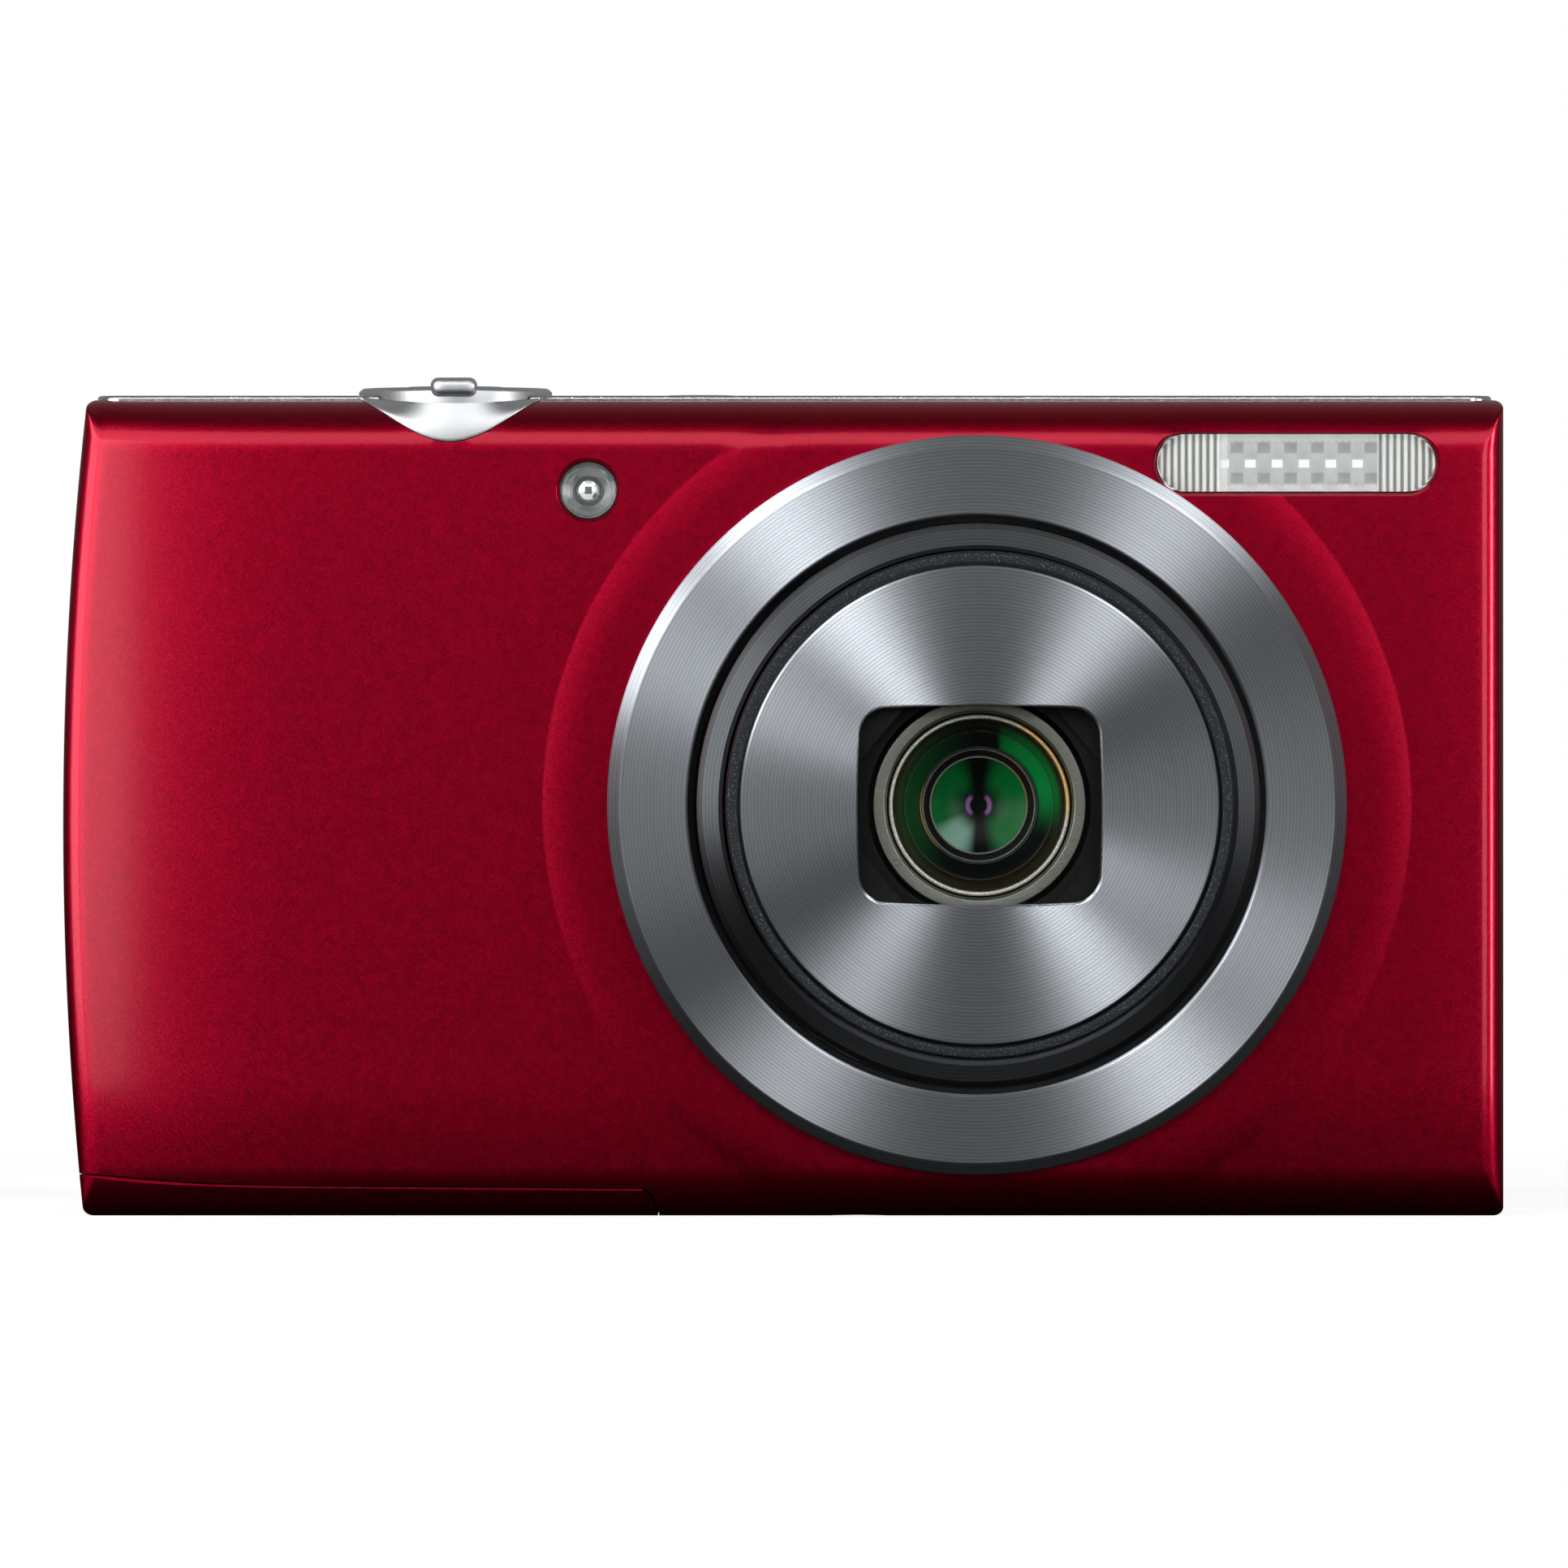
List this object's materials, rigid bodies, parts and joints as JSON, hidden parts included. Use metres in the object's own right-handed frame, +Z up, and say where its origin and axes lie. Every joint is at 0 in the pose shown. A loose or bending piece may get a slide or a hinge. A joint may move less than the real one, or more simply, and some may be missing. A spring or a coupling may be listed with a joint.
{
  "type": "compact digital camera",
  "caption": "Slim pocket digital camera with a retracting zoom lens, a lens barrier, a built-in flash, a rear screen and press controls.",
  "frame": {"origin": "on the flat base, midway across the body's width and midway through the depth of its two covers", "axes": "+X to the right seen from the front, -Y out of the front along the lens axis, +Z up"},
  "size_m": [0.0952, 0.0395, 0.0554],
  "materials": {
    "red_paint": "deep metallic red under clear gloss",
    "satin_silver": "satin silver plating",
    "spun_aluminium": "spun with fine round grooves",
    "textured_graphite": "fine-grained matt graphite paint",
    "dark_plastic": "moulded matt black",
    "soft_rubber": "soft matt rubber",
    "coated_glass": "polished with a green anti-reflection coating",
    "clear_window": "clear, ribbed inside",
    "screen_glass": "black gloss screen window",
    "circuit_board": "solder-masked board",
    "brass": "machined",
    "orange_plastic": "moulded",
    "bright_metal": "bright reflector",
    "steel": "stamped and plated"
  },
  "bodies": {
    "camera_body": {"front_cover": "red_paint", "rear_cover": "red_paint", "top_cover": "satin_silver", "terminal_connector": "steel", "strap_lug": "steel", "tripod_socket": "steel", "chassis": "steel", "screw_base": "steel", "screw_right_side": "steel", "screw_left_side": "steel", "lens_bezel_ring": "spun_aluminium", "lens_seal_ring": "soft_rubber", "lens_housing": "dark_plastic", "lens_base": "dark_plastic", "image_sensor": "circuit_board", "zoom_motor": "steel", "battery": "dark_plastic", "battery_cage": "dark_plastic", "card_slot": "steel", "memory_card": "dark_plastic", "main_board": "circuit_board", "top_board": "circuit_board", "button_board": "circuit_board", "flash_window": "clear_window", "flash_reflector": "bright_metal", "flash_tube": "clear_window", "flash_capacitor": "dark_plastic", "focus_lamp_window": "clear_window", "focus_lamp_led": "textured_graphite", "speaker": "dark_plastic", "screen_window": "screen_glass", "screen_panel": "dark_plastic"},
    "outer_barrel": {"lens_barrel_1": "spun_aluminium"},
    "inner_barrel": {"lens_barrel_2": "textured_graphite", "lens_front_trim": "spun_aluminium", "barrier_base": "dark_plastic", "front_lens_ring": "textured_graphite", "front_lens": "coated_glass", "aperture_unit": "dark_plastic", "middle_lens": "coated_glass"},
    "blade_upper_left": {"barrier_blade_upper_left": "dark_plastic"},
    "blade_lower_left": {"barrier_blade_lower_left": "dark_plastic"},
    "blade_upper_right": {"barrier_blade_upper_right": "dark_plastic"},
    "blade_lower_right": {"barrier_blade_lower_right": "dark_plastic"},
    "zoom_ring": {"drive_ring": "dark_plastic"},
    "zoom_pinion": {"motor_pinion": "brass"},
    "focus_group": {"focus_lens_group": "dark_plastic"},
    "zoom_lever": {"zoom_lever": "satin_silver"},
    "shutter_button": {"shutter_button": "satin_silver"},
    "power_button": {"power_button": "satin_silver"},
    "movie_button": {"movie_button": "dark_plastic"},
    "playback_button": {"playback_button": "dark_plastic"},
    "menu_button": {"menu_button": "dark_plastic"},
    "set_button": {"set_button": "dark_plastic"},
    "pad_pivot": {"pad_pivot": "dark_plastic"},
    "four_way_pad": {"four_way_pad": "satin_silver"},
    "door_hinge": {"door_hinge_bar": "steel"},
    "battery_door": {"battery_door": "red_paint"},
    "battery_lock": {"battery_lock": "orange_plastic"},
    "terminal_cover": {"terminal_cover": "soft_rubber"}
  },
  "joints": [
    {"name": "zoom_slide", "type": "slide", "parent": "camera_body", "child": "outer_barrel", "axis": [0, -1, 0], "range_m": [-0.009, 0.002]},
    {"name": "inner_barrel_slide", "type": "slide", "parent": "outer_barrel", "child": "inner_barrel", "axis": [0, -1, 0], "range_m": [-0.0079, 0.00176]},
    {"name": "zoom_ring_turn", "type": "hinge", "parent": "camera_body", "child": "zoom_ring", "pos_m": [0.01278, 0.00225, 0.02716], "axis": [0, -1, 0], "range_deg": [-36.1, 8.1]},
    {"name": "zoom_pinion_turn", "type": "hinge", "parent": "camera_body", "child": "zoom_pinion", "pos_m": [0.03148, 0.00225, 0.0091], "axis": [0, -1, 0], "range_deg": [-44.1, 198.1]},
    {"name": "barrier_open", "type": "hinge", "parent": "inner_barrel", "child": "blade_upper_left", "pos_m": [0.00218, -0.0279, 0.02836], "axis": [0, -1, 0], "range_deg": [-50, 0]},
    {"name": "blade_lower_left_turn", "type": "hinge", "parent": "inner_barrel", "child": "blade_lower_left", "pos_m": [0.00218, -0.0279, 0.02596], "axis": [0, -1, 0], "range_deg": [0, 50]},
    {"name": "blade_upper_right_turn", "type": "hinge", "parent": "inner_barrel", "child": "blade_upper_right", "pos_m": [0.02338, -0.0274, 0.02836], "axis": [0, -1, 0], "range_deg": [0, 50]},
    {"name": "blade_lower_right_turn", "type": "hinge", "parent": "inner_barrel", "child": "blade_lower_right", "pos_m": [0.02338, -0.0274, 0.02596], "axis": [0, -1, 0], "range_deg": [-50, 0]},
    {"name": "focus_slide", "type": "slide", "parent": "camera_body", "child": "focus_group", "axis": [0, -1, 0], "range_m": [-0.0004, 0.0004]},
    {"name": "zoom_lever_turn", "type": "hinge", "parent": "camera_body", "child": "zoom_lever", "pos_m": [-0.02175, -0.003, 0.054], "axis": [0, 0, 1], "range_deg": [-20, 20], "stiffness_Nm_per_rad": 0.02},
    {"name": "shutter_press", "type": "slide", "parent": "camera_body", "child": "shutter_button", "axis": [0, 0, -1], "range_m": [0, 0.0008], "stiffness_N_per_m": 600},
    {"name": "power_press", "type": "slide", "parent": "camera_body", "child": "power_button", "axis": [0, 0, -1], "range_m": [0, 0.0005], "stiffness_N_per_m": 800},
    {"name": "movie_press", "type": "slide", "parent": "camera_body", "child": "movie_button", "axis": [0, -1, 0], "range_m": [0, 0.0004], "stiffness_N_per_m": 800},
    {"name": "playback_press", "type": "slide", "parent": "camera_body", "child": "playback_button", "axis": [0, -1, 0], "range_m": [0, 0.0004], "stiffness_N_per_m": 800},
    {"name": "menu_press", "type": "slide", "parent": "camera_body", "child": "menu_button", "axis": [0, -1, 0], "range_m": [0, 0.0004], "stiffness_N_per_m": 800},
    {"name": "set_press", "type": "slide", "parent": "camera_body", "child": "set_button", "axis": [0, -1, 0], "range_m": [0, 0.0004], "stiffness_N_per_m": 800},
    {"name": "pad_tilt_up_down", "type": "hinge", "parent": "camera_body", "child": "pad_pivot", "pos_m": [-0.031, 0.0077, 0.0215], "axis": [1, 0, 0], "range_deg": [-1.7, 1.7], "stiffness_Nm_per_rad": 0.02},
    {"name": "pad_tilt_left_right", "type": "hinge", "parent": "pad_pivot", "child": "four_way_pad", "pos_m": [-0.031, 0.0077, 0.0215], "axis": [0, 0, 1], "range_deg": [-1.7, 1.7], "stiffness_Nm_per_rad": 0.02},
    {"name": "battery_door_swing", "type": "hinge", "parent": "camera_body", "child": "door_hinge", "pos_m": [-0.027, 0.0032, 0.0013], "axis": [1, 0, 0], "range_deg": [0, 95]},
    {"name": "battery_door_slide", "type": "slide", "parent": "door_hinge", "child": "battery_door", "axis": [-1, 0, 0], "range_m": [0, 0.0016]},
    {"name": "battery_lock_slide", "type": "slide", "parent": "camera_body", "child": "battery_lock", "axis": [1, 0, 0], "range_m": [0, 0.0012], "stiffness_N_per_m": 200},
    {"name": "terminal_cover_swing", "type": "hinge", "parent": "camera_body", "child": "terminal_cover", "pos_m": [0.047, 0.00613, 0.032], "axis": [0, 0, 1], "range_deg": [0, 100]}
  ],
  "couplings": [
    {"joint": "inner_barrel_slide", "follows": "zoom_slide", "ratio": 0.8777},
    {"joint": "zoom_ring_turn", "follows": "zoom_slide", "rad_per_m": 69.813},
    {"joint": "zoom_pinion_turn", "follows": "zoom_slide", "rad_per_m": -383.97},
    {"joint": "blade_lower_left_turn", "follows": "barrier_open", "ratio": -1},
    {"joint": "blade_upper_right_turn", "follows": "barrier_open", "ratio": -1},
    {"joint": "blade_lower_right_turn", "follows": "barrier_open", "ratio": 1}
  ]
}
